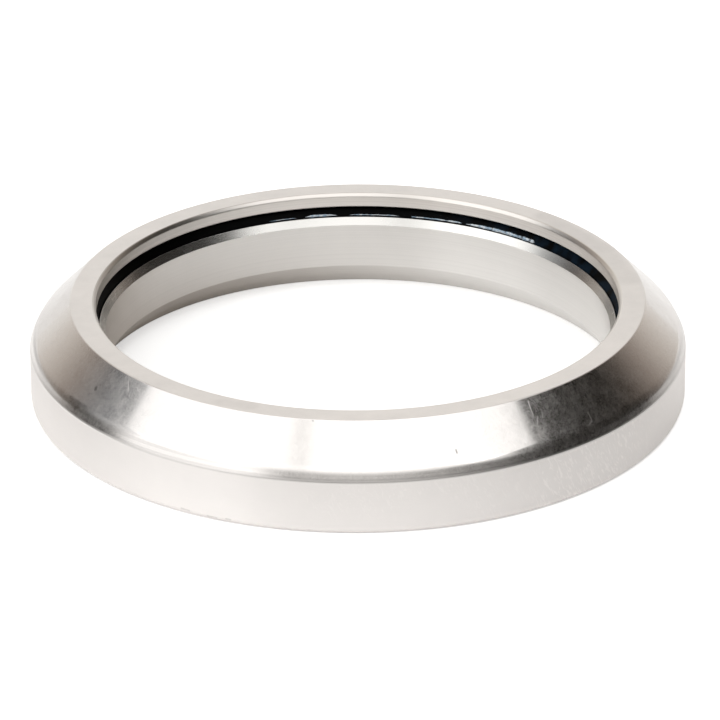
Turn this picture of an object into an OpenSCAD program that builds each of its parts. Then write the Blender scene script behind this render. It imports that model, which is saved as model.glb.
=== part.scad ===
// Lower headset bearing: a sealed angular-contact cartridge bearing.
// The outer ring seats in the frame on its upper cone, and the inner ring sits on the crown
// race with the cone at the foot of its bore. Between them runs one row of caged balls.
// The axis is Z, the base stands on Z = 0, and the outer cone faces up.
// Profiles are lists of [radius, height, corner radius] and are turned about the axis.

/* [Bearing] */
// Outside diameter of the outer ring
outer_d = 52; // [51.5:0.25:54]
// Bore diameter of the inner ring
bore_d = 40; // [39:0.25:40.5]
// Height of the outer ring
height = 8; // [7.9:0.1:8.5]

/* [Outer ring] */
// Angle between the axis and the conical seat
seat_angle = 45; // [40:1:48]
// Height of the plain cylinder, base edge included
cylinder_h = 4.3; // [3.9:0.05:4.5]
// How far the lead-in bevel narrows the ring before the cone starts
bevel_w = 0.38; // [0.2:0.02:0.5]
// Height of that bevel
bevel_h = 0.82; // [0.7:0.02:0.9]
// Radius of the rounded edge at the base
base_edge_r = 0.5; // [0.2:0.05:0.6]
// Thickness of the lip over the upper seal
lip_t = 1.19; // [1:0.01:1.3]
// Width and height of the chamfer at the top of the lip's hole
lip_chamfer = 0.23; // [0.15:0.01:0.3]
// Radial gap between the lip and the wall of the bore
lip_gap = 0.68; // [0.6:0.02:0.9]

/* [Inner ring] */
// Height of the inner ring
inner_h = 6.06; // [6:0.02:6.2]
// Angle between the axis and the cone that sits on the crown race
crown_angle = 36; // [30:1:45]
// Height of that cone
crown_h = 1.85; // [1.5:0.05:2.1]
// Width of the chamfer at the top of the bore
top_chamfer_w = 0.39; // [0.2:0.01:0.39]
// Height of the chamfer at the top of the bore
top_chamfer_h = 0.58; // [0.4:0.01:0.8]
// Wall thickness of the neck that the upper seal runs on
neck_t = 0.45; // [0.42:0.01:0.5]
// Height of the step below that neck
neck_step_h = 5.62; // [5.5:0.02:5.66]

/* [Balls and raceways] */
// Diameter of a ball, one eighth of an inch
ball_d = 3.175; // [2.9:0.025:3.175]
// Number of balls
ball_count = 36; // [24:1:36]
// Height of the ball centres above the base
ball_h = 4; // [3.95:0.01:4.05]
// Angle of the line of contact above the horizontal
contact_angle = 45; // [36:1:50]
// Raceway radius as a share of the ball diameter
conformity = 0.52; // [0.52:0.005:0.53]
// Running gap between a ball and each raceway
race_play = 0.05; // [0.02:0.01:0.06]
// Height of the ridges that stop the bearing from falling apart
snap_ridge = 0.12; // [0.05:0.01:0.15]

/* [Cage] */
// Running gap between a ball and its pocket
pocket_play = 0.05; // [0.03:0.01:0.08]
// Thickness of the oblique band between the pockets
cage_t = 0.9; // [0.7:0.05:1]
// Height of the cage's foot above the base
cage_foot_h = 1.75; // [1.7:0.05:1.85]
// Height of the cage's rim above the base
cage_rim_h = 5.7; // [5.6:0.02:5.75]

/* [Seals] */
// Height of the grooves that the seals snap into
seal_groove_h = 0.8; // [0.7:0.05:0.85]
// Depth of those grooves
seal_groove_t = 0.4; // [0.3:0.05:0.4]
// Height of the lower groove above the base
lower_groove_h = 0.55; // [0.5:0.05:0.6]
// Running gap between a seal's lip and the inner ring
lip_play = 0.05; // [0.03:0.01:0.08]

/* [Hidden] */
// Segments of a turned profile and of a ball
turn_fn = 180;
// Segments of a rounded corner
corner_n = 4;
// Corner radii, from a broken edge to the soft corners at both ends of the bevel
break_r = 0.08;
soft_r = 0.15;
bevel_edge_r = 0.4;
seat_edge_r = 2.2;
lip_edge_r = 0.2;
mouth_edge_r = 0.2;
shoulder_edge_r = 0.25;
nose_edge_r = 0.03;
neck_edge_r = 0.02;

outer_r = outer_d / 2;
bore_r = bore_d / 2;
ball_r = ball_d / 2;
pitch_r = (outer_r + bore_r) / 2;
ball_step = 360 / ball_count;

// The raceways are arcs a little larger than the ball, set so that the running gap is
// smallest on the line of contact: up and out on the outer ring, down and in on the inner.
groove_r = conformity * ball_d;
contact_line = [cos(contact_angle), sin(contact_angle)];
race_shift = groove_r - ball_r - race_play;
outer_race_at = [pitch_r, ball_h] - race_shift * contact_line;
inner_race_at = [pitch_r, ball_h] + race_shift * contact_line;

// The high shoulders carry the load, and the low lands let the rings go together.
outer_shoulder_r = pitch_r - 0.5;
inner_shoulder_r = pitch_r - 0.4;
outer_land_r = outer_race_at[0] + groove_r - snap_ridge;
inner_land_r = inner_race_at[0] - groove_r + snap_ridge;

cone_start_h = cylinder_h + bevel_h;
cone_start_r = outer_r - bevel_w;
face_r = cone_start_r - (height - cone_start_h) * tan(seat_angle);
lip_r = bore_r + lip_gap;
lip_h = height - lip_t;
neck_r = bore_r + neck_t;
crown_w = crown_h * tan(crown_angle);

// The grooves open towards the axis and leave the seals' beads nowhere to go.
upper_groove_r = outer_shoulder_r + seal_groove_t;
upper_groove_h = lip_h - seal_groove_h;
lower_groove_r = outer_land_r + seal_groove_t;
lower_groove_top = lower_groove_h + seal_groove_h;

// Sizes of a seal's section, with heights from the side of its groove next to the balls
bead_w = 0.7;
bead_step = 0.2;
web_t = 0.38;
lip_slope_w = 0.55;
nose_w = 0.1;
nose_top_h = 0.14;
nose_tip_h = -0.05;
nose_foot_h = -0.25;

// Sizes of the cage: its foot runs under the balls, outside the inner ring's shoulder, and
// its rim runs over them, inside the outer ring's shoulder.
cage_foot_in = inner_shoulder_r + 0.15;
cage_foot_out = outer_land_r - 0.16;
cage_rim_in = inner_land_r + 0.17;
cage_rim_out = outer_shoulder_r - 0.25;

steel_polished = [0.83, 0.82, 0.80];
steel_turned = [0.76, 0.74, 0.71];
steel_ball = [0.88, 0.88, 0.89];
rubber_black = [0.05, 0.05, 0.055];
polymer_dark = [0.16, 0.17, 0.18];

function ball_name(i) = str("ball_", i < 10 ? "0" : "", i);

// Points of the arc that rounds corner b between its neighbours a and c
function rounded_corner(a, b, c, r) =
    let (
        to_a = (a - b) / norm(a - b),
        to_c = (c - b) / norm(c - b),
        half = acos(to_a * to_c) / 2,
        centre = b + (to_a + to_c) / norm(to_a + to_c) * r / sin(half),
        from = b + to_a * r / tan(half) - centre,
        to = b + to_c * r / tan(half) - centre,
        start = atan2(from[1], from[0]),
        turn = (atan2(to[1], to[0]) - start + 540) % 360 - 180
    )
    [for (k = [0 : corner_n])
        let (at = start + turn * k / corner_n)
        centre + r * [cos(at), sin(at)]];

// Outline of a list of [radius, height, corner radius]
function outline(p) =
    let (
        n = len(p),
        at = [for (q = p) [q[0], q[1]]]
    )
    [for (i = [0 : n - 1])
        each p[i][2] == 0
            ? [at[i]]
            : rounded_corner(at[(i + n - 1) % n], at[i], at[(i + 1) % n], p[i][2])];

// Section of a seal. root_r is the bottom of its groove, nose_r the tip of its lip, base_h the
// side of the groove next to the balls, and away is 1 where the outside is up and -1 where it
// is down. The lip leans in towards the balls.
function seal_section(root_r, nose_r, base_h, away) =
    let (
        inner_side = seal_groove_h - bead_step - web_t,
        p = [
            [root_r, 0, 0],
            [root_r, seal_groove_h, 0],
            [root_r - bead_w, seal_groove_h, soft_r],
            [root_r - bead_w - bead_step, seal_groove_h - bead_step, break_r],
            [nose_r + lip_slope_w, seal_groove_h - bead_step, soft_r],
            [nose_r + nose_w, nose_top_h, break_r],
            [nose_r, nose_tip_h, nose_edge_r],
            [nose_r + nose_w, nose_foot_h, nose_edge_r],
            [nose_r + lip_slope_w, inner_side, soft_r],
            [root_r - bead_w, inner_side, break_r],
            [root_r - bead_w, 0, break_r]
        ]
    )
    [for (q = p) [q[0], base_h + away * q[1], q[2]]];

// Height of the face of the cage's oblique band at radius r. The band stands square to the
// line of contact, and side is 1 on its outer face and -1 on its inner face.
function band_h(r, side) =
    ball_h + (side * cage_t / 2 - (r - pitch_r) * contact_line[0]) / contact_line[1];

module turned(section) {
    rotate_extrude($fn = turn_fn) polygon(outline(section));
}

module raceway(at) {
    translate(at) circle(r = groove_r, $fn = turn_fn);
}

module place_ball(i) {
    rotate([0, 0, (i - 1) * ball_step]) translate([pitch_r, 0, ball_h]) children();
}

module outer_ring() {
    section = [
        [outer_land_r, 0, mouth_edge_r],
        [outer_r, 0, base_edge_r],
        [outer_r, cylinder_h, bevel_edge_r],
        [cone_start_r, cone_start_h, seat_edge_r],
        [face_r, height, soft_r],
        [lip_r + lip_chamfer, height, lip_edge_r],
        [lip_r, height - lip_chamfer, lip_edge_r],
        [lip_r, lip_h, lip_edge_r],
        [upper_groove_r, lip_h, 0],
        [upper_groove_r, upper_groove_h, 0],
        [outer_shoulder_r, upper_groove_h, 0],
        [outer_shoulder_r, ball_h, 0],
        [outer_land_r, ball_h, 0],
        [outer_land_r, lower_groove_top, 0],
        [lower_groove_r, lower_groove_top, 0],
        [lower_groove_r, lower_groove_h, 0],
        [outer_land_r, lower_groove_h, 0]
    ];
    color(steel_polished) rotate_extrude($fn = turn_fn) difference() {
        polygon(outline(section));
        raceway(outer_race_at);
    }
}

module inner_ring() {
    section = [
        [bore_r + crown_w, 0, break_r],
        [inner_shoulder_r, 0, shoulder_edge_r],
        [inner_shoulder_r, ball_h, 0],
        [inner_land_r, ball_h, 0],
        [inner_land_r, neck_step_h, soft_r],
        [neck_r, neck_step_h, 0],
        [neck_r, inner_h, neck_edge_r],
        [bore_r + top_chamfer_w, inner_h, 0],
        [bore_r, inner_h - top_chamfer_h, 0],
        [bore_r, crown_h, 0]
    ];
    color(steel_turned) rotate_extrude($fn = turn_fn) difference() {
        polygon(outline(section));
        raceway(inner_race_at);
    }
}

module upper_seal() {
    nose_r = neck_r + lip_play;
    color(rubber_black) turned(seal_section(upper_groove_r, nose_r, upper_groove_h, 1));
}

module lower_seal() {
    nose_r = inner_shoulder_r + lip_play;
    color(rubber_black) turned(seal_section(lower_groove_r, nose_r, lower_groove_top, -1));
}

module ball_cage() {
    section = [
        [cage_foot_in, cage_foot_h, soft_r],
        [cage_foot_out, cage_foot_h, soft_r],
        [cage_foot_out, band_h(cage_foot_out, 1), soft_r],
        [cage_rim_out, band_h(cage_rim_out, 1), 0],
        [cage_rim_out, cage_rim_h, break_r],
        [cage_rim_in, cage_rim_h, break_r],
        [cage_rim_in, band_h(cage_rim_in, -1), break_r],
        [cage_foot_in, band_h(cage_foot_in, -1), 0]
    ];
    color(polymer_dark) difference() {
        turned(section);
        for (i = [1 : ball_count]) place_ball(i) sphere(r = ball_r + pocket_play, $fn = turn_fn);
    }
}

module ball(i) {
    color(steel_ball) place_ball(i) sphere(r = ball_r, $fn = turn_fn);
}

outer_ring();
inner_ring();
upper_seal();
lower_seal();
ball_cage();
for (i = [1 : ball_count]) ball(i);
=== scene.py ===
# %% [markdown]
# # A sealed headset bearing
# The real object is a lower headset bearing: an outer ring with a conical seat, an inner ring,
# a row of balls in a cage, and a black rubber seal on each side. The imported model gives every
# piece its place, and this script gives the pieces their looks. The rings and seals are turned
# parts, so each is rebuilt as one fine surface of revolution. The cage and the balls are right
# as packed and only need their finishes.

# %% Load the frame
import math

import bpy
import numpy as np
from mathutils import Matrix, Vector


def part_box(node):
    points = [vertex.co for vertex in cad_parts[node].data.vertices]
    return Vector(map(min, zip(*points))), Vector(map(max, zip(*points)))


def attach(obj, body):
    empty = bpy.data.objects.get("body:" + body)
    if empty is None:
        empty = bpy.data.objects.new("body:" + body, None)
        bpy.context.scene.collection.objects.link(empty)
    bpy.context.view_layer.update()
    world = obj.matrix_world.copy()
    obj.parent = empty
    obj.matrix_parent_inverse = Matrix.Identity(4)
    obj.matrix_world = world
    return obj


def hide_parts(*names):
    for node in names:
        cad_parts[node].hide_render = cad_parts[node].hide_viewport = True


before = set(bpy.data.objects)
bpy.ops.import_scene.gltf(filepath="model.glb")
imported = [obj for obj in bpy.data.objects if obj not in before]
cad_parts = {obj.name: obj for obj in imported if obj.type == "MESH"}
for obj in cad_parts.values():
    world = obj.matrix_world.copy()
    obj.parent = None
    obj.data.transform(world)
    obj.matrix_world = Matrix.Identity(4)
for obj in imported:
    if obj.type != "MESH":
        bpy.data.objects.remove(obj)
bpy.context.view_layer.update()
MM = 0.001

# %% [markdown]
# ## The camera
# The photograph was taken from low down with a long lens, so the ellipses are nearly parallel
# projections of the circles. A camera could be placed by eye, but a lens that was fitted to the
# circles gives their exact shapes. It looks slightly above the base, and its horizon leans by a
# third of a degree.

# %% Place the camera
EYE = Vector((0.0, -416.867, 195.564)) * MM
AIM = Vector((0.169, 0.963, 2.053)) * MM
LENS_MM = 288.879
SENSOR_MM = 36.0
LEAN = math.radians(0.307)


def look_from(eye, aim, lean):
    """Matrix of a camera at eye whose -Z runs to aim, with right and up turned by lean about it."""
    back = (eye - aim).normalized()
    right = Vector((0, 0, 1)).cross(back).normalized()
    up = back.cross(right)
    leaned_right = right * math.cos(lean) - up * math.sin(lean)
    leaned_up = right * math.sin(lean) + up * math.cos(lean)
    axes = Matrix((leaned_right, leaned_up, back)).transposed()
    return Matrix.Translation(eye) @ axes.to_4x4()


camera = bpy.data.objects.new("camera", bpy.data.cameras.new("camera"))
camera.data.lens = LENS_MM
camera.data.sensor_width = SENSOR_MM
camera.data.clip_start = 0.01
camera.data.clip_end = 10.0
camera.matrix_world = look_from(EYE, AIM, LEAN)
bpy.context.scene.collection.objects.link(camera)
bpy.context.scene.camera = camera
bpy.context.scene.view_settings.view_transform = "Standard"
print("camera is", round((EYE - AIM).length / MM), "mm away")

# %% [markdown]
# ## Node helpers
# Every finish below is a small network of shader nodes. Two helpers keep the networks readable:
# one makes a node from named inputs, and one makes a step of arithmetic.

# %% Make nodes


def add(tree, kind, inputs=None, **settings):
    """One node of a tree. A socket given as an input is linked, and anything else is its value."""
    made = tree.nodes.new("ShaderNode" + kind)
    for name, value in settings.items():
        setattr(made, name, value)
    for name, value in (inputs or {}).items():
        if isinstance(value, bpy.types.NodeSocket):
            tree.links.new(value, made.inputs[name])
        else:
            made.inputs[name].default_value = value
    return made


def calc(tree, operation, *values):
    """Result of one Math node."""
    return add(tree, "Math", dict(enumerate(values)), operation=operation).outputs[0]


def fade(tree, value, start, end, low=0.0, high=1.0):
    """low up to start, high from end on, and a smooth step between them."""
    inputs = {"Value": value, "From Min": start, "From Max": end, "To Min": low, "To Max": high}
    return add(tree, "MapRange", inputs, interpolation_type="SMOOTHSTEP").outputs["Result"]


# %% [markdown]
# ## The studio
# Polished steel has hardly any colour of its own: it shows the room. The photograph's room was a
# dark studio with a large softbox overhead, a smaller one at the front left, and a white sweep
# behind. Lamps would do, but a world that is a function of direction says the same in a few
# numbers. Each light is a round patch of sky with a soft edge. The first is the overhead softbox,
# which has a seam where its two halves meet and fades towards the horizon. The second is the one
# at the front left. The others are small or faint: light that pale things in the room throw back.
# The camera itself sees plain white, and so would a ray that has passed through a clear piece.

# %% Values of the studio
ROOM = (0.014, 0.012, 0.010, 1.0)
SOFTBOXES = [
    # azimuth and elevation of the middle, inner and outer edge, all in degrees, strength, colour
    (-116.0, 71.0, 48.5, 50.8, 1.36, (1.0, 1.0, 0.99)),
    (-150.0, 16.0, 21.0, 34.0, 1.30, (1.0, 1.0, 0.99)),
    (176.0, 27.0, 6.0, 20.0, 0.28, (1.0, 1.0, 0.99)),
    (-178.0, 31.0, 3.0, 12.0, 0.50, (1.0, 1.0, 0.99)),
    (-38.0, 39.0, 4.0, 13.0, 0.85, (1.0, 1.0, 0.99)),
    (-88.0, 21.0, 6.0, 66.0, 0.51, (1.0, 0.985, 0.96)),
    (162.0, 37.0, 8.0, 26.0, 0.14, (0.92, 0.98, 1.05)),
]
LAMP_LOW, LAMP_FULL = 0.34, 0.76
SEAM_NORMAL = (-0.9537, 0.2627, -0.1456)
SEAM_HALF_WIDTH, SEAM_DEPTH = 0.09, 0.36
SWEEP_AZIMUTH = 92.0
SWEEP_STRENGTH = 1.15
RAMP_END = 90.0
SWEEP_COLOURS = [
    # degrees away from the sweep's middle, share of its strength
    (0.0, (1.0, 1.0, 0.99)),
    (15.0, (0.98, 0.98, 0.965)),
    (24.0, (0.79, 0.78, 0.755)),
    (28.0, (0.735, 0.72, 0.69)),
    (35.5, (0.60, 0.565, 0.525)),
    (45.0, (0.44, 0.40, 0.36)),
    (55.0, (0.23, 0.195, 0.17)),
    (65.0, (0.045, 0.036, 0.03)),
    (71.0, (0.0, 0.0, 0.0)),
]

# %% Measure directions


def towards(azimuth, elevation):
    """Unit vector of a direction, with azimuth 0 along +X and 90 along +Y, in degrees."""
    a, e = math.radians(azimuth), math.radians(elevation)
    return (math.cos(e) * math.cos(a), math.cos(e) * math.sin(a), math.sin(e))


def dot(tree, a, b):
    """Dot product of two vectors."""
    return add(tree, "VectorMath", {0: a, 1: b}, operation="DOT_PRODUCT").outputs["Value"]


def degrees_from(tree, ray, azimuth, elevation):
    """Angle in degrees between a ray and a fixed direction: the arccosine of their product."""
    cosine = dot(tree, ray, towards(azimuth, elevation))
    return calc(tree, "DEGREES", calc(tree, "ARCCOSINE", cosine))


# %% Light the sweep
world = bpy.data.worlds.new("studio")
world.use_nodes = True
bpy.context.scene.world = world
sky = world.node_tree
sky.nodes.clear()
ray = add(sky, "TexCoord").outputs["Generated"]

behind = calc(sky, "DIVIDE", degrees_from(sky, ray, SWEEP_AZIMUTH, 0), RAMP_END)
sweep = add(sky, "ValToRGB", {"Fac": behind})
while len(sweep.color_ramp.elements) < len(SWEEP_COLOURS):
    sweep.color_ramp.elements.new(0.5)
for stop, (angle, _) in zip(sweep.color_ramp.elements, SWEEP_COLOURS):
    stop.position = angle / RAMP_END
for stop, (_, colour) in zip(sweep.color_ramp.elements, SWEEP_COLOURS):
    stop.color = (*colour, 1.0)
lit = add(sky, "Background", {"Color": sweep.outputs["Color"], "Strength": SWEEP_STRENGTH})

# %% Hang the softboxes
upright = add(sky, "SeparateXYZ", {0: ray}).outputs["Z"]
dimmed = fade(sky, upright, LAMP_LOW, LAMP_FULL)
off_seam = calc(sky, "ABSOLUTE", dot(sky, ray, SEAM_NORMAL))
seam = fade(sky, off_seam, 0.0, SEAM_HALF_WIDTH, 1.0 - SEAM_DEPTH, 1.0)
for i, (azimuth, elevation, inner, outer, strength, colour) in enumerate(SOFTBOXES):
    patch = fade(sky, degrees_from(sky, ray, azimuth, elevation), inner, outer, strength, 0.0)
    if i == 0:  # only the overhead softbox has the seam and fades towards the horizon
        patch = calc(sky, "MULTIPLY", patch, calc(sky, "MULTIPLY", seam, dimmed))
    light = add(sky, "Background", {"Color": (*colour, 1.0), "Strength": patch})
    lit = add(sky, "AddShader", {0: lit.outputs[0], 1: light.outputs[0]})
room_light = add(sky, "Background", {"Color": ROOM, "Strength": 1.0})
lit = add(sky, "AddShader", {0: lit.outputs[0], 1: room_light.outputs[0]})

# %% Show the camera plain white
path = add(sky, "LightPath")
seen = calc(sky, "MAXIMUM", path.outputs["Is Camera Ray"], path.outputs["Is Transmission Ray"])
white = add(sky, "Background", {"Color": (1.0, 1.0, 1.0, 1.0), "Strength": 1.0})
both = add(sky, "MixShader", {"Fac": seen, 1: lit.outputs[0], 2: white.outputs[0]})
add(sky, "OutputWorld", {"Surface": both.outputs[0]})
print("studio: a sweep and", len(SOFTBOXES), "patches of light")

# %% [markdown]
# ## The floor
# The object stands on a white sweep. A plain white diffuse floor under this light would turn out
# pale grey, so a glow is added to what the camera sees of it. A brighter world would whiten it
# too, but it would also wash out the metal. The glow is weaker inside the ring and weakest under
# the edge of its foot, so the shadow and the line of contact stay. The metal mirrors parts of the
# floor that the camera never sees, and their light is uneven: brighter at the left and the right,
# darker far out at the sides and a little darker far behind, and inside the ring only where light
# falls into it.

# %% Lay the floor
FLOOR_HALF = 3.0
FLOOR_DROP = 0.005 * MM
floor_corners = [
    (x * FLOOR_HALF, y * FLOOR_HALF, -FLOOR_DROP)
    for x, y in ((-1, -1), (1, -1), (1, 1), (-1, 1))
]
floor_mesh = bpy.data.meshes.new("floor")
floor_mesh.from_pydata(floor_corners, [], [(0, 1, 2, 3)])
floor = bpy.data.objects.new("floor", floor_mesh)
bpy.context.scene.collection.objects.link(floor)
print("floor", 2 * FLOOR_HALF, "m wide")

# %% Values of the floor's light
# lengths are distances from the axis or from BRIGHTEST_AT, and angles are azimuths or degrees
# away from one
FLOOR_WHITE = 0.86
CAMERA_GLOW, INSIDE_CAMERA_GLOW, METAL_GLOW = 0.52, 0.42, 0.25
GLOW_LEFT, LEFT_AZIMUTH = 0.18, -125.0
GLOW_RIGHT, RIGHT_AZIMUTH, RIGHT_NEAR, RIGHT_FAR = 0.20, 30.0, 20.0, 50.0
FAR_LOSS, FAR_SHADE, FAR_START, FAR_END = 0.42, 0.20, 24.0 * MM, 80.0 * MM
BACK_SHARE, BACK_NEAR, BACK_FAR = 0.2, 42.0, 58.0
INSIDE_GLOW, INSIDE_SHADE = 0.22, (0.36, 0.41, 0.45)
BRIGHTEST_AT, BRIGHT_R, DIM_R = Vector((10.0, 6.0, 0.0)) * MM, 8.0 * MM, 27.0 * MM
RING_INNER, RING_OUTER = 22.0 * MM, 27.0 * MM
TOUCH_R, CLEAR_R, TOUCH_GLOW = 25.6 * MM, 26.0 * MM, 0.17

# %% Measure places on the floor
paper = bpy.data.materials.new("white_sweep")
paper.use_nodes = True
tree = paper.node_tree
tree.nodes.clear()
spot = add(tree, "TexCoord").outputs["Object"]
outwards = add(tree, "VectorMath", {0: spot}, operation="NORMALIZE").outputs[0]
reach = add(tree, "VectorMath", {0: spot}, operation="LENGTH").outputs["Value"]
outside = fade(tree, reach, RING_INNER, RING_OUTER)
off_brightest = add(tree, "VectorMath", {0: spot, 1: BRIGHTEST_AT}, operation="DISTANCE")
lit = fade(tree, off_brightest.outputs["Value"], BRIGHT_R, DIM_R, 1.0, 0.0)

# %% The floor's light in the metal
leftwards = dot(tree, outwards, towards(LEFT_AZIMUTH, 0))
uneven = calc(tree, "MULTIPLY_ADD", leftwards, GLOW_LEFT, METAL_GLOW)
off_right = degrees_from(tree, outwards, RIGHT_AZIMUTH, 0)
uneven = calc(tree, "ADD", uneven, fade(tree, off_right, RIGHT_NEAR, RIGHT_FAR, GLOW_RIGHT, 0.0))
off_back = degrees_from(tree, outwards, 90, 0)
share = fade(tree, off_back, BACK_NEAR, BACK_FAR, BACK_SHARE, 1.0)
beside = calc(tree, "MULTIPLY", fade(tree, reach, FAR_START, FAR_END), share)
uneven = calc(tree, "SUBTRACT", uneven, calc(tree, "MULTIPLY", beside, FAR_LOSS))
inside = calc(tree, "MULTIPLY", lit, INSIDE_GLOW)
uneven = calc(tree, "MULTIPLY_ADD", outside, calc(tree, "SUBTRACT", uneven, inside), inside)
uneven = calc(tree, "MAXIMUM", uneven, 0.0)

# %% Finish the floor
path = add(tree, "LightPath")
mirrored = path.outputs["Is Glossy Ray"]
seen = calc(tree, "MAXIMUM", path.outputs["Is Camera Ray"], path.outputs["Is Transmission Ray"])
within = fade(tree, reach, RING_INNER, RING_INNER + MM, 1.0, 0.0)
plain = fade(tree, reach, TOUCH_R, CLEAR_R, TOUCH_GLOW, CAMERA_GLOW)
plain = calc(tree, "MULTIPLY_ADD", within, INSIDE_CAMERA_GLOW - TOUCH_GLOW, plain)
plain = calc(tree, "MULTIPLY", seen, plain)
glow = calc(tree, "MULTIPLY_ADD", mirrored, uneven, plain)
unlit, not_outside = calc(tree, "SUBTRACT", 1.0, lit), calc(tree, "SUBTRACT", 1.0, outside)
shaded = calc(tree, "MULTIPLY", calc(tree, "MULTIPLY", unlit, not_outside), mirrored)
lost = add(tree, "VectorMath", {0: INSIDE_SHADE, "Scale": shaded}, operation="SCALE").outputs[0]
kept = add(tree, "VectorMath", {0: (1.0, 1.0, 1.0), 1: lost}, operation="SUBTRACT").outputs[0]
beside = calc(tree, "MULTIPLY", beside, mirrored)
white = calc(tree, "MULTIPLY_ADD", beside, -FAR_SHADE * FLOOR_WHITE, FLOOR_WHITE)
tint = add(tree, "VectorMath", {0: kept, "Scale": white}, operation="SCALE").outputs[0]
diffuse = add(tree, "BsdfDiffuse", {"Color": tint})
shine = add(tree, "Emission", {"Color": (1.0, 1.0, 1.0, 1.0), "Strength": glow})
both = add(tree, "AddShader", {0: diffuse.outputs[0], 1: shine.outputs[0]})
add(tree, "OutputMaterial", {"Surface": both.outputs[0]})
floor_mesh.materials.append(paper)
print("floor finish:", paper.name, "with", len(tree.nodes), "nodes")

# %% [markdown]
# ## A turned surface
# A lathe makes a ring by moving a tool along a section while the blank turns. The same idea makes
# its mesh: a closed outline in radius and height is swept round the axis. Corners of a real
# turned part are never sharp, so each corner of the outline gets a small arc, which is also what
# catches the thin highlights along the edges. Subdivision or a Bevel modifier could round them
# too, but an outline with arcs keeps the flats truly flat and says each radius in millimetres.

# %% Round an outline
STEPS_PER_TURN = 540
ARC_STEP_DEG = 7.0
# arcs of up to SMALL_R mm are hardly seen, so their points stand further apart
SMALL_R, SMALL_ARC_STEP_DEG = 0.05, 22.0


def corner_arc(before, corner, after, radius):
    """Points and outward normals of the arc that rounds a corner: it touches both sides at the
    same distance, radius / tan(half the angle between them), from the corner."""
    to_before = (before - corner) / np.linalg.norm(before - corner)
    to_after = (after - corner) / np.linalg.norm(after - corner)
    half = 0.5 * np.arccos(np.clip(to_before @ to_after, -1, 1))
    middle = (to_before + to_after) / np.linalg.norm(to_before + to_after)
    centre = corner + middle * radius / np.sin(half)
    first = corner + to_before * radius / np.tan(half) - centre
    last = corner + to_after * radius / np.tan(half) - centre
    start = np.arctan2(first[1], first[0])
    turn = (np.arctan2(last[1], last[0]) - start + 3 * np.pi) % (2 * np.pi) - np.pi
    step = ARC_STEP_DEG if radius > SMALL_R else SMALL_ARC_STEP_DEG
    angles = start + turn * np.linspace(0, 1, 2 + int(abs(np.degrees(turn)) / step))
    ray_out = np.stack([np.cos(angles), np.sin(angles)], axis=1)
    convex = np.sign(turn)
    return centre + radius * ray_out, ray_out * convex


def outline(corners):
    """Points, normals and zone of a closed anticlockwise outline. Each corner is (radius, height,
    corner radius, zone), all in mm, and its zone is the name of the finish of the side after it."""
    at = np.array([c[:2] for c in corners], float)
    points, normals, zones = [], [], []
    for i, (_, _, radius, zone) in enumerate(corners):
        p, n = corner_arc(at[i - 1], at[i], at[(i + 1) % len(at)], radius)
        points.append(p)
        normals.append(n)
        zones += [zone] * len(p)
    return np.concatenate(points), np.concatenate(normals), zones


# %% Sweep an outline round the axis


def lathe(name, corners, finishes, body):
    """A closed surface of revolution. A point at radius r and height z of the outline becomes the
    circle (r cos t, r sin t, z). Its normal turns with it, so the flats shade as true flats and
    cones. finishes maps each zone to a material."""
    points, normals, zones = outline(corners)
    t = np.linspace(0, 2 * np.pi, STEPS_PER_TURN, endpoint=False)
    across, around = len(points), STEPS_PER_TURN
    r, z = points[:, :1] * MM, points[:, 1:] * MM
    xyz = np.stack([r * np.cos(t), r * np.sin(t), z + 0 * t], axis=-1).reshape(-1, 3)
    nr, nz = normals[:, :1], normals[:, 1:]
    facing = np.stack([nr * np.cos(t), nr * np.sin(t), nz + 0 * t], axis=-1).reshape(-1, 3)
    i, j = np.meshgrid(np.arange(across), np.arange(around), indexing="ij")
    k, m = (i + 1) % across, (j + 1) % around
    quads = np.stack([i * around + j, i * around + m, k * around + m, k * around + j], axis=-1)
    mesh = bpy.data.meshes.new(name)
    mesh.from_pydata(xyz, [], quads.reshape(-1, 4), shade_flat=False)
    order = list(finishes)
    for zone in order:
        mesh.materials.append(finishes[zone])
    band = np.array([order.index(zone) for zone in zones], np.int32)
    mesh.polygons.foreach_set("material_index", np.repeat(band, around))
    mesh.normals_split_custom_set_from_vertices(facing)
    piece = bpy.data.objects.new(name, mesh)
    bpy.context.scene.collection.objects.link(piece)
    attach(piece, body)
    print(name, len(mesh.polygons), "faces,", len(points), "points in the outline")
    return piece


# %% [markdown]
# ## Patterns on a turned part
# The rings are hardened bearing steel, turned and then ground. Every pattern on them is a function
# of the place on the object: the distance along the section and the direction round the axis.
# Noise that is stretched round the axis gives the lines of the tool, noise stretched the other way
# gives the short chatter marks that run across them, and plain noise gives clouds. A picture could
# be wrapped round each ring instead, but noise has no seam and stays sharp from near. A few
# scratches and stains, and some patches of painted shade, stand at places of their own, each given
# by its angle, radius and height.

# %% Make patterns
RING_R = 23.0


def position(tree):
    """Position on the object in mm."""
    spot = add(tree, "TexCoord").outputs["Object"]
    return add(tree, "VectorMath", {0: spot, "Scale": 1 / MM}, operation="SCALE").outputs[0]


def place(tree):
    """Position in mm, unit direction (x, y) round the axis, radius and height in mm."""
    spot = position(tree)
    flat = add(tree, "VectorMath", {0: spot, 1: (1, 1, 0)}, operation="MULTIPLY").outputs[0]
    radius = add(tree, "VectorMath", {0: flat}, operation="LENGTH").outputs["Value"]
    round_axis = add(tree, "VectorMath", {0: flat}, operation="NORMALIZE").outputs[0]
    height = add(tree, "SeparateXYZ", {0: spot}).outputs["Z"]
    return spot, round_axis, radius, height


def noise(tree, vector, scale, detail=2.0, roughness=0.5, distortion=0.0):
    """Value of a 3-D noise texture."""
    inputs = {"Vector": vector, "Scale": scale, "Detail": detail, "Roughness": roughness}
    inputs["Distortion"] = distortion
    return add(tree, "TexNoise", inputs).outputs["Fac"]


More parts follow.
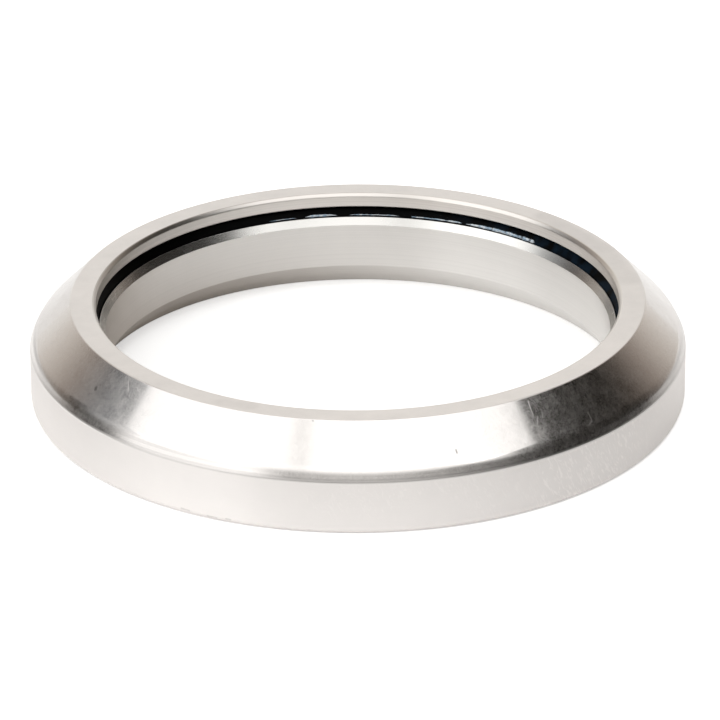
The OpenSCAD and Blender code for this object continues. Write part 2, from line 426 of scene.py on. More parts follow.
def turned_noise(tree, round_axis, along, pitch, length, detail=3.0, distortion=0.0):
    """Noise on a turned surface: it changes over pitch mm along the section, and over length mm
    round a ring of this size."""
    turns = add(tree, "VectorMath", {0: round_axis, "Scale": RING_R / length}, operation="SCALE")
    parts = add(tree, "SeparateXYZ", {0: turns.outputs[0]}).outputs
    inputs = {"X": parts["X"], "Y": parts["Y"], "Z": calc(tree, "DIVIDE", along, pitch)}
    stretched = add(tree, "CombineXYZ", inputs).outputs[0]
    return noise(tree, stretched, 1.0, detail, roughness=0.6, distortion=distortion)


def blend(tree, *terms):
    """Sum of values that are each multiplied by a weight."""
    total = 0.0
    for value, weight in terms:
        total = calc(tree, "MULTIPLY_ADD", value, weight, total)
    return total


# %% Put marks at places of their own
SOLID_SHARE = 0.3


def on_ring(angle, radius, height):
    """Position in mm of a place given by its angle in degrees, radius and height."""
    a = math.radians(angle)
    return Vector((radius * math.cos(a), radius * math.sin(a), height))


def scratch(tree, spot, start, end, half_width):
    """1 near the middle line of a scratch between two places and 0 beyond its half width. The
    nearest point of the line is start + t (end - start), with t held between 0 and 1."""
    a, b = on_ring(*start), on_ring(*end)
    way = b - a
    from_start = add(tree, "VectorMath", {0: spot, 1: a}, operation="SUBTRACT").outputs[0]
    along = dot(tree, from_start, way / way.length_squared)
    t = add(tree, "Math", {0: along, 1: 1.0}, operation="MULTIPLY", use_clamp=True).outputs[0]
    nearest = add(tree, "VectorMath", {0: way, "Scale": t}, operation="SCALE").outputs[0]
    away = add(tree, "VectorMath", {0: from_start, 1: nearest}, operation="DISTANCE")
    return fade(tree, away.outputs["Value"], SOLID_SHARE * half_width, half_width, 1.0, 0.0)


def marks(tree, spot, table):
    """The strongest of a table of marks: rows of start, end, half width and strength."""
    total = 0.0
    for start, end, half_width, strength in table:
        mark = scratch(tree, spot, start, end, half_width)
        total = calc(tree, "MAXIMUM", total, calc(tree, "MULTIPLY", mark, strength))
    return total


# %% [markdown]
# ## Turned and ground steel
# Turning and grinding lines make the metal satin: reflections smear across the lines and stay sharp
# along them. An anisotropic metal shader does that for lines too fine to see. Modelled lines would
# need a mesh finer than a hair. The steels of the pieces differ a little in colour: the lip's is
# darker and warmer, and the top chamfer's darker.

# %% Shade a turned metal
MICROMETRE = 0.001 * MM
QUARTER_TURN = 0.25
DIAGONAL = math.sqrt(0.5)
OUTER_STEEL = (0.80, 0.77, 0.75)
INNER_STEEL = (0.80, 0.78, 0.755)
LIP_STEEL = (0.74, 0.705, 0.67)
CHAMFER_STEEL = (0.68, 0.67, 0.65)
RACE_STEEL = (0.80, 0.79, 0.77)


def new_finish(name):
    """A new material and its empty tree."""
    material = bpy.data.materials.new(name)
    material.use_nodes = True
    material.node_tree.nodes.clear()
    return material, material.node_tree


def metal(tree, round_axis, colour, shade, rough, bumps, smear):
    """The shader of a turned metal and its output: colour times shade, a roughness, a height in
    micrometres, and the share of anisotropy across the turned lines."""
    tint = add(tree, "VectorMath", {0: colour, "Scale": shade}, operation="SCALE").outputs[0]
    bump = add(tree, "Bump", {"Height": bumps, "Distance": MICROMETRE, "Strength": 1.0})
    inputs = {0: (0, 0, 1), 1: round_axis}
    turned_way = add(tree, "VectorMath", inputs, operation="CROSS_PRODUCT").outputs[0]
    spaces = {"vector_type": "VECTOR", "convert_from": "OBJECT", "convert_to": "WORLD"}
    turned_way = add(tree, "VectorTransform", {0: turned_way}, **spaces).outputs[0]
    inputs = {
        "Base Color": tint,
        "Metallic": 1.0,
        "Roughness": rough,
        "Anisotropic": smear,
        "Anisotropic Rotation": QUARTER_TURN,
        "Normal": bump.outputs[0],
        "Tangent": turned_way,
    }
    shader = add(tree, "BsdfPrincipled", inputs)
    add(tree, "OutputMaterial", {"Surface": shader.outputs[0]})


# %% [markdown]
# ## The ground seat
# The seat cone is the brightest surface. Its grinding was so fine that the softbox's edges stay
# sharp in it, but it has been handled. Its roughness jumps between two levels in a grain too fine
# to see, with clouds and short scuffs in it, so each sharp reflection has a haze round it. Two
# mixed shaders would do the same, but one shader is simpler to reuse. Single scratches and stains
# come on top. The bevel below the seat is less polished, with broad lines, and its colour is
# darkened a little as painted shade. The edge below the bevel is rougher still, with a little
# painted shade too.

# %% Values of the seat and the bevel
POLISH, HAZE, WORN_POLISH, EDGE_POLISH = 0.09, 0.30, 0.17, 0.36
SCRATCH_HAZE = 0.10
# painted shade: shares by which the colour of the edge below the bevel and of the bevel is darkened
EDGE_PAINTED_SHADE, BEVEL_PAINTED_SHADE = 0.04, 0.10
LINE_DEPTH, BEVEL_LINE_DEPTH = 0.02, 0.34
BROAD_LINE_PITCH, BROAD_LINE_DEPTH = 0.33, 0.5
HAZE_FROM, HAZE_TO = 0.485, 0.54
BEVEL_TOP, BEVEL_SOFT = 5.12, 0.15
EDGE_LOW, EDGE_HIGH = 4.34, 4.54
SEAT_SCRATCHES = [
    # start, end (angle, radius, height), half width in mm, strength
    ((-44.7, 24.70, 6.04), (-44.8, 25.20, 5.54), 0.055, 0.8),
    ((-44.8, 25.20, 5.54), (-45.8, 25.36, 5.38), 0.050, 0.7),
    ((-55.7, 22.95, 7.79), (-55.9, 23.40, 7.34), 0.065, 1.0),
    ((-55.9, 23.40, 7.34), (-56.0, 23.80, 6.94), 0.050, 0.8),
    ((-55.3, 23.95, 6.79), (-55.9, 24.35, 6.39), 0.045, 0.7),
    ((-54.0, 23.80, 6.94), (-54.3, 24.10, 6.64), 0.045, 0.7),
    ((-58.4, 23.10, 7.64), (-58.5, 23.35, 7.39), 0.060, 0.8),
    ((-52.0, 25.05, 5.69), (-52.2, 25.20, 5.54), 0.055, 0.7),
    ((-58.1, 24.85, 5.89), (-58.2, 25.10, 5.64), 0.050, 0.7),
    ((-35.7, 25.05, 5.69), (-35.8, 25.10, 5.64), 0.060, 0.7),
    ((-39.3, 24.08, 6.66), (-39.4, 24.16, 6.58), 0.060, 0.7),
    ((-139.8, 23.10, 7.64), (-138.5, 23.50, 7.24), 0.060, 0.7),
    ((-142.8, 24.95, 5.79), (-142.6, 25.25, 5.49), 0.060, 0.6),
]
SEAT_STAINS = [
    ((-146.4, 24.25, 6.49), (-146.2, 24.36, 6.38), 0.18, 0.55),
    ((-139.1, 23.75, 6.99), (-137.6, 23.87, 6.87), 0.11, 0.26),
    ((-151.0, 25.50, 5.24), (-145.5, 25.46, 5.28), 0.20, 0.30),
    ((-72.7, 24.80, 5.94), (-72.65, 24.98, 5.76), 0.09, 0.55),
    ((-98.7, 22.80, 7.94), (-98.6, 22.84, 7.90), 0.10, 0.30),
    ((-39.4, 25.33, 5.41), (-39.5, 25.38, 5.36), 0.10, 0.25),
]

# %% How dull the seat and the bevel are
seat_steel, tree = new_finish("ground_seat")
spot, round_axis, radius, height = place(tree)
along = calc(tree, "MULTIPLY", calc(tree, "SUBTRACT", height, radius), DIAGONAL)
on_bevel = fade(tree, height, BEVEL_TOP - BEVEL_SOFT, BEVEL_TOP + BEVEL_SOFT, 1.0, 0.0)
on_edge = fade(tree, height, EDGE_LOW, EDGE_HIGH, 1.0, 0.0)
clouds = noise(tree, spot, scale=0.8, detail=3.0, roughness=0.6)
scuffs = turned_noise(
    tree, round_axis, along, pitch=0.42, length=0.22, detail=2.0, distortion=0.8
)
specks = noise(tree, spot, scale=3.6)
grain = noise(tree, spot, scale=60.0, detail=1.0)
lines = turned_noise(tree, round_axis, along, pitch=0.11, length=22.0)
scuffed = blend(tree, (clouds, 0.14), (scuffs, 0.12), (specks, 0.06), (grain, 0.68))
scratched = marks(tree, spot, SEAT_SCRATCHES)
hazy = calc(tree, "MAXIMUM", fade(tree, scuffed, HAZE_FROM, HAZE_TO), scratched)
worn, dull = WORN_POLISH - POLISH, EDGE_POLISH - WORN_POLISH
fine = blend(tree, (on_bevel, worn), (on_edge, dull), (1.0, POLISH))
rough = calc(tree, "MULTIPLY_ADD", hazy, calc(tree, "SUBTRACT", HAZE, fine), fine)
rough = blend(tree, (rough, 1.0), (clouds, 0.04), (scratched, SCRATCH_HAZE), (1.0, -0.02))

# %% Finish the seat and the bevel
line_depth = calc(tree, "MULTIPLY_ADD", on_bevel, BEVEL_LINE_DEPTH, LINE_DEPTH)
shade = calc(tree, "MULTIPLY_ADD", calc(tree, "SUBTRACT", lines, 0.5), line_depth, 1.0)
unstained_and_painted_light = calc(tree, "SUBTRACT", 1.0, marks(tree, spot, SEAT_STAINS))
# painted shade: the edge below the bevel and the bevel are darkened; the bevel also carries its
# broad lines
kept = calc(tree, "MULTIPLY_ADD", on_edge, -EDGE_PAINTED_SHADE, 1.0)
broad_lines_and_painted_shade = turned_noise(tree, round_axis, along, BROAD_LINE_PITCH, length=60.0, detail=0.0)
broad_lines_and_painted_shade = blend(tree, (broad_lines_and_painted_shade, BROAD_LINE_DEPTH), (1.0, -0.5 * BROAD_LINE_DEPTH - BEVEL_PAINTED_SHADE))
broad_lines_and_painted_shade = calc(tree, "MULTIPLY_ADD", broad_lines_and_painted_shade, on_bevel, 1.0)
for factor in (unstained_and_painted_light, kept, broad_lines_and_painted_shade):
    shade = calc(tree, "MULTIPLY", shade, factor)
bumps = blend(tree, (lines, 0.08), (clouds, 0.4))
metal(tree, round_axis, OUTER_STEEL, shade, rough, bumps, smear=0.1)
print("seat:", len(SEAT_SCRATCHES), "scratches and", len(SEAT_STAINS), "stains")

# %% [markdown]
# ## The ground cylinder and the faced top
# The cylinder was ground on its outside. Its satin smears what it shows up and down, and at some
# places the wheel has chattered: fine wavy marks stand side by side along it. A bump could cut
# them, but they are so shallow that a change of shade shows them as the photograph does. Handling
# has left faint smudges near the base. The top face was faced flat and is satin. It has painted
# light towards the front, and patches of painted shade at the right and a fainter one at the front
# left.

# %% Finish the cylinder
WALL_STAINS = [
    ((-116.3, 26.0, 0.26), (-114.6, 26.0, 0.24), 0.14, 0.22),
    ((-112.8, 26.0, 0.36), (-112.0, 26.0, 0.34), 0.12, 0.20),
    ((-121.3, 26.0, 0.42), (-119.8, 26.0, 0.38), 0.12, 0.18),
]
CHATTER_AT, CHATTER_FULL, CHATTER_SPREAD, CHATTER_SLANT = -46.0, 7.2, 18.0, 0.018
CHATTER_FROM, CHATTER_TO = 0.5, 0.68
PATCH_FROM, PATCH_TO, PATCH_SHARE = 0.5, 0.62, 0.3

wall_steel, tree = new_finish("ground_wall")
spot, round_axis, _, height = place(tree)
clouds = noise(tree, spot, scale=0.30, detail=4.0, roughness=0.6)
lines = turned_noise(tree, round_axis, height, pitch=0.09, length=30.0)
slant = calc(tree, "MULTIPLY", height, CHATTER_SLANT)
sideways = {0: towards(CHATTER_AT + 90, 0), "Scale": slant}
shift = add(tree, "VectorMath", sideways, operation="SCALE").outputs[0]
slanted = add(tree, "VectorMath", {0: round_axis, 1: shift}, operation="ADD").outputs[0]
chatter = turned_noise(tree, slanted, height, pitch=1.1, length=0.27, detail=2.0, distortion=1.4)
off_chatter = degrees_from(tree, round_axis, CHATTER_AT, 0)
here = fade(tree, off_chatter, CHATTER_FULL, CHATTER_SPREAD, 1.0, 0.0)
there = fade(tree, noise(tree, spot, scale=0.12), PATCH_FROM, PATCH_TO, 0.0, PATCH_SHARE)
struck = fade(tree, chatter, CHATTER_FROM, CHATTER_TO)
struck = calc(tree, "MULTIPLY", struck, calc(tree, "MAXIMUM", here, there))
stain_and_painted_shade = marks(tree, spot, WALL_STAINS)
shade = blend(tree, (clouds, 0.10), (lines, 0.02), (struck, 0.14), (1.0, 0.93))
shade = calc(tree, "MULTIPLY", shade, calc(tree, "SUBTRACT", 1.0, stain_and_painted_shade))
rough = blend(tree, (clouds, 0.10), (struck, 0.04), (1.0, 0.37))
bumps = blend(tree, (lines, 0.1), (clouds, 1.0))
metal(tree, round_axis, OUTER_STEEL, shade, rough, bumps, smear=0.75)

# %% Finish the top face
# painted light and shade on the top face: lighter towards the front, with darker patches at the
# right and the front left
PAINTED_LIGHT_AT, PAINTED_LIGHT_NEAR, PAINTED_LIGHT_FAR = -72.0, 10.0, 75.0
FACE_PAINTED_SHADE = [
    ((8.0, 21.8, 8.0), (26.0, 22.0, 8.0), 1.5, 0.08),
    ((24.0, 22.0, 8.0), (46.0, 22.0, 8.0), 1.3, 0.11),
    ((-118.0, 21.9, 8.0), (-112.0, 21.7, 8.0), 0.9, 0.06),
]

face_steel, tree = new_finish("faced_top")
spot, round_axis, _, _ = place(tree)
clouds = noise(tree, spot, scale=0.45, detail=3.0, roughness=0.6)
grain = noise(tree, spot, scale=5.0)
# painted light towards the front, and patches of painted shade from the table above
off_painted_light = degrees_from(tree, round_axis, PAINTED_LIGHT_AT, 0)
unstained_and_painted_light = fade(tree, off_painted_light, PAINTED_LIGHT_NEAR, PAINTED_LIGHT_FAR, 1.0, 0.0)
stain_and_painted_shade = marks(tree, spot, FACE_PAINTED_SHADE)
shade = blend(tree, (clouds, 0.24), (grain, 0.04), (unstained_and_painted_light, 0.07), (1.0, 0.865))
shade = calc(tree, "MULTIPLY", shade, calc(tree, "SUBTRACT", 1.0, stain_and_painted_shade))
rough = blend(tree, (clouds, 0.12), (1.0, 0.26))
bumps = blend(tree, (clouds, 1.5), (grain, 0.3))
metal(tree, round_axis, OUTER_STEEL, shade, rough, bumps, smear=0.2)

# %% [markdown]
# ## The turned lip and bore
# The lip's hole and the inner ring's bore were turned, not ground, so their lines can be seen:
# coarser in the lip, finer in the bore. Each line runs a long way round, so the noise is stretched
# over more than the whole ring. The lip is darkened at the left as painted shade. The raceways are
# lapped.

# %% Finish the lip, the bore and the raceways
# painted shade on the lip: its colour is darker around the left
LIP_PAINTED_SHADE_AT, LIP_PAINTED_SHADE_NEAR, LIP_PAINTED_SHADE_FAR = 155.0, 15.0, 50.0
SECTION_LEAN = 0.7


def turned_finish(name, colour, polish, pitch, contrast, smear, painted_light=0.0):
    """A fine-turned steel with a roughness (polish), lines of a pitch in mm and a contrast in
    brightness, and a share of anisotropy (smear). painted_light is the share of brightness that
    painted shade takes away at the left."""
    material, tree = new_finish(name)
    spot, round_axis, radius, height = place(tree)
    along = calc(tree, "ADD", height, calc(tree, "MULTIPLY", radius, -SECTION_LEAN))
    lines = turned_noise(tree, round_axis, along, pitch, length=90.0, detail=0.0)
    fine = turned_noise(tree, round_axis, along, pitch / 2, length=60.0, detail=0.0)
    clouds = noise(tree, spot, scale=0.5, detail=1.0)
    base = 0.97 - 2 * contrast
    shade = blend(tree, (lines, 3 * contrast), (fine, contrast), (clouds, 0.06), (1.0, base))
    # painted shade: the lip's colour is darkened around the left
    if painted_light:
        off_lip_painted_shade = degrees_from(tree, round_axis, LIP_PAINTED_SHADE_AT, 0)
        passed = fade(tree, off_lip_painted_shade, LIP_PAINTED_SHADE_NEAR, LIP_PAINTED_SHADE_FAR, 1.0 - painted_light, 1.0)
        shade = calc(tree, "MULTIPLY", shade, passed)
    rough = blend(tree, (lines, 0.06), (clouds, 0.06), (1.0, polish - 0.06))
    metal(tree, round_axis, colour, shade, rough, blend(tree, (lines, 0.1), (clouds, 0.3)), smear)
    return material


# name, colour, polish, pitch, contrast, smear
lip_steel = turned_finish("turned_lip", LIP_STEEL, 0.34, 0.16, 0.09, 0.8, painted_light=0.28)
bore_steel = turned_finish("turned_bore", INNER_STEEL, 0.36, 0.12, 0.025, 0.86)
chamfer_steel = turned_finish("turned_chamfer", CHAMFER_STEEL, 0.26, 0.12, 0.025, 0.5)
race_steel = turned_finish("lapped_race", RACE_STEEL, 0.12, 0.08, 0.01, 0.3)
ground = [seat_steel, wall_steel, face_steel]
turned = [lip_steel, bore_steel, chamfer_steel, race_steel]
print("steel finishes:", [steel.name for steel in ground + turned])

# %% [markdown]
# ## The outer ring
# One turned ring carries the plain cylinder, the lead-in bevel, the 45 degree seat, the flat top
# face and the lip over the upper seal. Inside it has the raceway, cut as an arc a little larger
# than the ball, and the two grooves that the seals snap into. Its outline repeats the packed
# solid's sizes.

# %% Sizes that the rings share
OUTER_R, BORE_R, TOP_H = 26.0, 20.0, 8.0
CYLINDER_H, BEVEL_TOP_R = 4.3, 25.62
BALL_D, PITCH_R, BALL_H = 3.175, 23.0, 4.0
PLAY, RIDGE = 0.05, 0.12
RACE_R = 0.52 * BALL_D
RACE_SHIFT = (RACE_R - BALL_D / 2 - PLAY) * DIAGONAL
OUTER_SHOULDER_R, INNER_SHOULDER_R = PITCH_R - 0.5, PITCH_R - 0.4
OUTER_LAND_R = PITCH_R - RACE_SHIFT + RACE_R - RIDGE
INNER_LAND_R = PITCH_R + RACE_SHIFT - RACE_R + RIDGE
LIP_R, LIP_CHAMFER = 20.68, 0.23
LIP_H, GROOVE_H, GROOVE_T = 6.81, 0.8, 0.4
LOWER_SEAL_INSET = 0.55
UPPER_GROOVE = (OUTER_SHOULDER_R + GROOVE_T, LIP_H - GROOVE_H)
LOWER_GROOVE = (OUTER_LAND_R + GROOVE_T, LOWER_SEAL_INSET + GROOVE_H)
RACE_POINTS, RACE_ROUNDING, SHOULDER_ROUNDING = 26, 0.3, 0.02

# %% Follow a raceway


def raceway(centre_r, centre_h, from_r, to_r, from_side, to_side):
    """Corners along a raceway: points of a circle, from where it meets one radius to where it
    meets another. A side of 1 takes the upper of the two places, and -1 the lower. At radius r
    the circle is sqrt(RACE_R^2 - (r - centre_r)^2) above or below its centre. A raceway is hollow,
    so its points run clockwise round the centre."""
    start_r, end_r = from_r - centre_r, to_r - centre_r
    start = math.atan2(from_side * math.sqrt(RACE_R**2 - start_r**2), start_r)
    end = math.atan2(to_side * math.sqrt(RACE_R**2 - end_r**2), end_r)
    if end > start:
        end -= 2 * math.pi
    angles = np.linspace(start, end, RACE_POINTS)
    rounding = np.full(RACE_POINTS, RACE_ROUNDING)
    rounding[[0, -1]] = SHOULDER_ROUNDING
    r, h = centre_r + RACE_R * np.cos(angles), centre_h + RACE_R * np.sin(angles)
    return [(*corner, "race") for corner in np.stack([r, h, rounding], axis=1).tolist()]


# %% Build the outer ring
outer_race = raceway(
    PITCH_R - RACE_SHIFT, BALL_H - RACE_SHIFT, OUTER_SHOULDER_R, OUTER_LAND_R, 1, -1
)
outer_corners = [
    # radius, height, corner radius, finish of the side that follows
    (OUTER_LAND_R, 0.0, 0.2, "wall"),
    (OUTER_R, 0.0, 0.5, "wall"),
    (OUTER_R, CYLINDER_H, 0.4, "seat"),
    (BEVEL_TOP_R, BEVEL_TOP, 2.2, "seat"),
    (BEVEL_TOP_R - (TOP_H - BEVEL_TOP), TOP_H, 0.15, "face"),
    (LIP_R + LIP_CHAMFER, TOP_H, 0.2, "lip"),
    (LIP_R, TOP_H - LIP_CHAMFER, 0.2, "lip"),
    (LIP_R, LIP_H, 0.2, "lip"),
    (UPPER_GROOVE[0], LIP_H, 0.03, "lip"),
    (*UPPER_GROOVE, 0.03, "lip"),
    (OUTER_SHOULDER_R, UPPER_GROOVE[1], 0.03, "race"),
    *outer_race,
    (OUTER_LAND_R, LOWER_GROOVE[1], 0.03, "lip"),
    (*LOWER_GROOVE, 0.03, "lip"),
    (LOWER_GROOVE[0], LOWER_SEAL_INSET, 0.03, "lip"),
    (OUTER_LAND_R, LOWER_SEAL_INSET, 0.03, "lip"),
]
outer_finishes = {
    "wall": wall_steel,
    "seat": seat_steel,
    "face": face_steel,
    "lip": lip_steel,
    "race": race_steel,
}
outer_ring = lathe(
    "outer_ring_turned", outer_corners, outer_finishes, "outer_body"
)
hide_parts("outer_ring")
packed_box = [[round(x / MM, 2) for x in corner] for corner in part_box("outer_ring")]
print("packed outer ring in mm:", packed_box)

# %% [markdown]
# ## The inner ring
# The inner ring is thinner, and it is made the same way. Its bore is fine-turned, with a chamfer
# at the top and the 36 degree cone at the foot that sits on the crown race. Its raceway faces up
# and out.

# %% Build the inner ring
INNER_H, NECK_R, STEP_H = 6.06, 20.45, 5.62
TOP_CHAMFER_W, TOP_CHAMFER_H = 0.39, 0.58
CROWN_H, CROWN_ANGLE = 1.85, math.radians(36)
CROWN_W = CROWN_H * math.tan(CROWN_ANGLE)
inner_race = raceway(
    PITCH_R + RACE_SHIFT, BALL_H + RACE_SHIFT, INNER_SHOULDER_R, INNER_LAND_R, -1, 1
)
inner_corners = [
    (BORE_R + CROWN_W, 0.0, 0.08, "bore"),
    (INNER_SHOULDER_R, 0.0, 0.25, "race"),
    *inner_race,
    (INNER_LAND_R, STEP_H, 0.15, "bore"),
    (NECK_R, STEP_H, 0.03, "bore"),
    (NECK_R, INNER_H, 0.02, "bore"),
    (BORE_R + TOP_CHAMFER_W, INNER_H, 0.02, "chamfer"),
    (BORE_R, INNER_H - TOP_CHAMFER_H, 0.06, "bore"),
    (BORE_R, CROWN_H, 0.08, "bore"),
]
inner_finishes = {"bore": bore_steel, "chamfer": chamfer_steel, "race": race_steel}
inner_ring = lathe(
    "inner_ring_turned", inner_corners, inner_finishes, "inner_body"
)
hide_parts("inner_ring")

# %% [markdown]
# ## The seals
# Each seal is a moulded rubber ring. A bead fills its groove in the outer ring, a thin web runs
# inwards, and a lip leans in towards the balls and ends a hair's breadth from the inner ring.
# Each seal could have a section of its own, but both are of one kind, so they share one: its bead
# is placed from the groove and its lip from the inner ring. The rubber is nearly black and hardly
# shines, and at the right its colour has patches of painted bluish sheen.

# %% The section of a seal
SEAL_SECTION = [
    # distance from the groove's bottom or, where it is marked, from the lip's tip, then height
    # above the side of the groove next to the balls, then corner radius
    (0.0, 0.0, 0.02, False),
    (0.0, 0.8, 0.02, False),
    (-0.7, 0.8, 0.12, False),
    (-0.9, 0.6, 0.08, False),
    (0.55, 0.6, 0.15, True),
    (0.1, 0.14, 0.08, True),
    (0.0, -0.05, 0.03, True),
    (0.1, -0.25, 0.03, True),
    (0.55, 0.22, 0.15, True),
    (-0.7, 0.22, 0.08, False),
    (-0.7, 0.0, 0.08, False),
]


def seal_corners(root_r, nose_r, base_h, away):
    """Corners of a seal whose bead ends at root_r and whose lip ends at nose_r. away is 1 where
    the outside is up and -1 where it is down. A section that is turned over runs clockwise, so
    its corners are put in the opposite order."""
    corners = [
        ((nose_r if from_nose else root_r) + dr, base_h + away * dh, radius, "rubber")
        for dr, dh, radius, from_nose in SEAL_SECTION
    ]
    return corners if away > 0 else corners[::-1]


# %% Make the rubber
# painted sheen: a bluish tint in the rubber's colour, in patches at the right
PAINTED_SHEEN_AT, PAINTED_SHEEN_NEAR, PAINTED_SHEEN_FAR = 25.0, 15.0, 55.0
PAINTED_SHEEN_BLUE = (0.003, 0.009, 0.017)
PAINTED_SHEEN_FROM, PAINTED_SHEEN_TO = 0.35, 0.6

rubber, tree = new_finish("seal_rubber")
spot, round_axis, _, _ = place(tree)
grain = noise(tree, spot, scale=6.0, detail=3.0)
clouds = noise(tree, spot, scale=0.8)
bump = add(tree, "Bump", {"Height": grain, "Distance": 4 * MICROMETRE, "Strength": 1.0})
# painted sheen: bluish patches in the rubber's colour at the right
painted_light = fade(tree, degrees_from(tree, round_axis, PAINTED_SHEEN_AT, 0), PAINTED_SHEEN_NEAR, PAINTED_SHEEN_FAR, 1.0, 0.0)
blue = calc(tree, "MULTIPLY", fade(tree, clouds, PAINTED_SHEEN_FROM, PAINTED_SHEEN_TO), painted_light)
tint = add(tree, "VectorMath", {0: PAINTED_SHEEN_BLUE, "Scale": blue}, operation="SCALE")
inputs = {
    "Base Color": tint.outputs[0],
    "Roughness": calc(tree, "MULTIPLY_ADD", clouds, 0.25, 0.28),
    "Specular IOR Level": 0.04,
    "Normal": bump.outputs[0],
}
shader = add(tree, "BsdfPrincipled", inputs)
add(tree, "OutputMaterial", {"Surface": shader.outputs[0]})

# %% Build the seals
upper = seal_corners(UPPER_GROOVE[0], NECK_R + PLAY, UPPER_GROOVE[1], 1)
lower = seal_corners(LOWER_GROOVE[0], INNER_SHOULDER_R + PLAY, LOWER_GROOVE[1], -1)
upper_seal = lathe("upper_seal_moulded", upper, {"rubber": rubber}, "outer_body")
lower_seal = lathe("lower_seal_moulded", lower, {"rubber": rubber}, "outer_body")
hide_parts("upper_seal")
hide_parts("lower_seal")

# %% [markdown]
# ## The grease
# Grease has crept past the upper seal's lip and lies on it in thin beads beside the inner ring,
# bluish and wet. Each bead is a closed tube whose thickness rises and falls along it. A texture on
# the rubber could suggest it, but only a real bead catches the softbox as the photograph shows.
# The beads keep clear of the inner ring, so the ring can turn. Grease isn't metallic, but a finish
# that is partly metal gives them the bright, bluish glints of the photograph.

# %% Values of the beads
BEAD_R, BEAD_H = 20.60, 6.15
BEADS = [
    # knots of one bead: angle in degrees, half thickness in mm
    [
        (45.3, 0.0), (45.7, 0.15), (48.4, 0.16), (49.2, 0.12), (52.0, 0.15),
        (58.0, 0.14), (62.5, 0.11), (63.6, 0.04), (64.4, 0.0),
    ],
    [
        (65.3, 0.0), (65.8, 0.08), (68.5, 0.08), (69.0, 0.03),
        (69.6, 0.07), (73.0, 0.06), (77.0, 0.05), (77.6, 0.0),
    ],
    [
        (80.3, 0.0), (81.5, 0.035), (83.0, 0.05), (86.0, 0.035),
        (89.0, 0.05), (91.0, 0.035), (91.8, 0.0),
    ],
    [(94.6, 0.0), (95.6, 0.07), (98.0, 0.12), (100.4, 0.12), (101.2, 0.06), (102.0, 0.0)],
    [(104.0, 0.0), (105.0, 0.035), (109.0, 0.03), (110.6, 0.0)],
    [(-36.0, 0.0), (-33.0, 0.05), (-25.0, 0.04), (-18.0, 0.06), (-16.5, 0.0)],
    [(-96.0, 0.0), (-94.0, 0.06), (-84.0, 0.045), (-70.0, 0.07), (-66.0, 0.0)],
    [(-158.0, 0.0), (-155.0, 0.05), (-143.0, 0.05), (-130.0, 0.06), (-128.5, 0.0)],
]
BEAD_STEP_DEG, BEAD_SIDES = 0.12, 14
BEAD_LIFT, BEAD_WANDER, BEAD_THINNEST = 0.4, 0.012, 0.004

# %% Shape a bead


def bead_grid(knots):
    """One closed tube round the axis. With t the number of degrees round it, its half thickness
    is the knots' line times 1 + 0.10 sin(1.7 t) + 0.06 sin(5.3 t + 1), with t taken as radians
    in each sine. Its middle line is a circle that wanders by 0.012 sin(2.3 t) mm, lifted by 0.4
    of the half thickness."""
    angles, sizes = np.array(knots).T
    sizes = np.maximum(sizes, BEAD_THINNEST)
    t = np.linspace(angles[0], angles[-1], 2 + int((angles[-1] - angles[0]) / BEAD_STEP_DEG))
    lump = 1 + 0.10 * np.sin(1.7 * t) + 0.06 * np.sin(5.3 * t + 1.0)
    half = (np.interp(t, angles, sizes) * lump)[:, None]
    side = np.linspace(0, 2 * np.pi, BEAD_SIDES, endpoint=False)[None, :]
    r = BEAD_R + BEAD_WANDER * np.sin(2.3 * t)[:, None] + half * np.cos(side)
    z = BEAD_H + BEAD_LIFT * half + half * np.sin(side)
    a = np.radians(t)[:, None]
    return np.stack([r * np.cos(a), r * np.sin(a), z + 0 * a], axis=-1) * MM


def tube_faces(rows, first):
    """Faces of a tube of rows circles: quads along it and one polygon that closes each end."""
    i, j = np.meshgrid(np.arange(rows - 1), np.arange(BEAD_SIDES), indexing="ij")
    m = (j + 1) % BEAD_SIDES
    a, b = i * BEAD_SIDES, (i + 1) * BEAD_SIDES
    quads = np.stack([a + j, b + j, b + m, a + m], axis=-1).reshape(-1, 4) + first
    last = first + (rows - 1) * BEAD_SIDES
    start_cap = [first + k for k in range(BEAD_SIDES)]
    end_cap = [last + BEAD_SIDES - 1 - k for k in range(BEAD_SIDES)]
    return quads.tolist() + [start_cap, end_cap]


# %% Lay the beads
bead_points, bead_faces = [], []
for knots in BEADS:
    grid = bead_grid(knots)
    bead_faces += tube_faces(len(grid), sum(len(p) for p in bead_points))
    bead_points.append(grid.reshape(-1, 3))
bead_mesh = bpy.data.meshes.new("grease_beads")
bead_mesh.from_pydata(np.concatenate(bead_points), [], bead_faces, shade_flat=False)
grease = bpy.data.objects.new("grease_beads", bead_mesh)
bpy.context.scene.collection.objects.link(grease)
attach(grease, "outer_body")
print("grease:", len(BEADS), "beads,", len(bead_mesh.polygons), "faces")

# %% Finish the grease
THIN_GREASE, THICK_GREASE = (0.22, 0.30, 0.38, 1.0), (0.50, 0.54, 0.58, 1.0)
THICK_FROM, THICK_TO = 0.4, 0.6

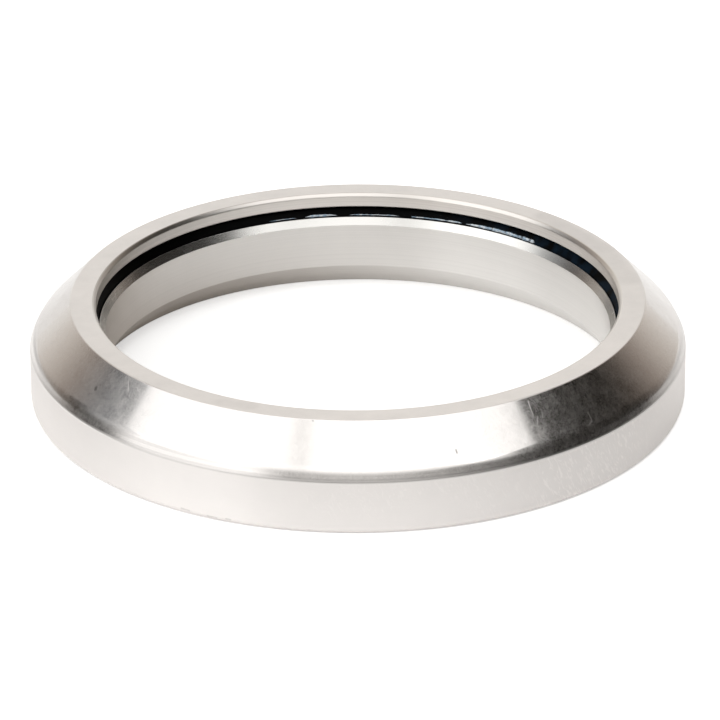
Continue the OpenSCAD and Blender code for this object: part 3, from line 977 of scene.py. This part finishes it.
wet, tree = new_finish("wet_grease")
spot = position(tree)
thick = fade(tree, noise(tree, spot, scale=3.0, detail=3.0), THICK_FROM, THICK_TO)
waves = noise(tree, spot, scale=2.6)
bump = add(tree, "Bump", {"Height": waves, "Distance": 8 * MICROMETRE, "Strength": 1.0})
tint = add(tree, "MixRGB", {"Fac": thick, "Color1": THIN_GREASE, "Color2": THICK_GREASE})
inputs = {
    "Base Color": tint.outputs[0],
    "Metallic": 0.7,
    "Roughness": 0.18,
    "Normal": bump.outputs[0],
}
shader = add(tree, "BsdfPrincipled", inputs)
add(tree, "OutputMaterial", {"Surface": shader.outputs[0]})
bead_mesh.materials.append(wet)

# %% [markdown]
# ## The cage and the balls
# These are right as packed, so they keep their meshes and get their finishes. Finer spheres could
# take the place of the balls, but the seals hide them. The cage is a moulded polymer with a fine
# matt grain. The balls are lapped steel, nearly mirrors, with the faintest haze.

# %% Mix the polymer and the lapped steel
CAGE_BLACK, BALL_STEEL = (0.035, 0.036, 0.04), (0.82, 0.82, 0.83)

polymer, tree = new_finish("cage_polymer")
spot = position(tree)
grain = noise(tree, spot, scale=12.0, detail=3.0)
clouds = noise(tree, spot, scale=1.2)
bump = add(tree, "Bump", {"Height": grain, "Distance": 6 * MICROMETRE, "Strength": 1.0})
shade = calc(tree, "MULTIPLY_ADD", clouds, 0.3, 0.85)
tint = add(tree, "VectorMath", {0: CAGE_BLACK, "Scale": shade}, operation="SCALE").outputs[0]
inputs = {"Base Color": tint, "Roughness": 0.55, "Normal": bump.outputs[0]}
shader = add(tree, "BsdfPrincipled", inputs)
add(tree, "OutputMaterial", {"Surface": shader.outputs[0]})

lapped, tree = new_finish("lapped_ball")
haze = noise(tree, position(tree), scale=2.5, detail=3.0)
rough = calc(tree, "MULTIPLY_ADD", haze, 0.06, 0.04)
shade = calc(tree, "MULTIPLY_ADD", haze, 0.06, 0.95)
tint = add(tree, "VectorMath", {0: BALL_STEEL, "Scale": shade}, operation="SCALE").outputs[0]
shader = add(tree, "BsdfPrincipled", {"Base Color": tint, "Metallic": 1.0, "Roughness": rough})
add(tree, "OutputMaterial", {"Surface": shader.outputs[0]})

# %% Finish the cage and the balls
for name, cad_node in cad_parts.items():
    if name == "ball_cage" or name.startswith("ball_"):
        cad_node.data.materials.clear()
        cad_node.data.materials.append(polymer if name == "ball_cage" else lapped)
print("finished the cage and", sum(n[5:].isdigit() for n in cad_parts), "balls")
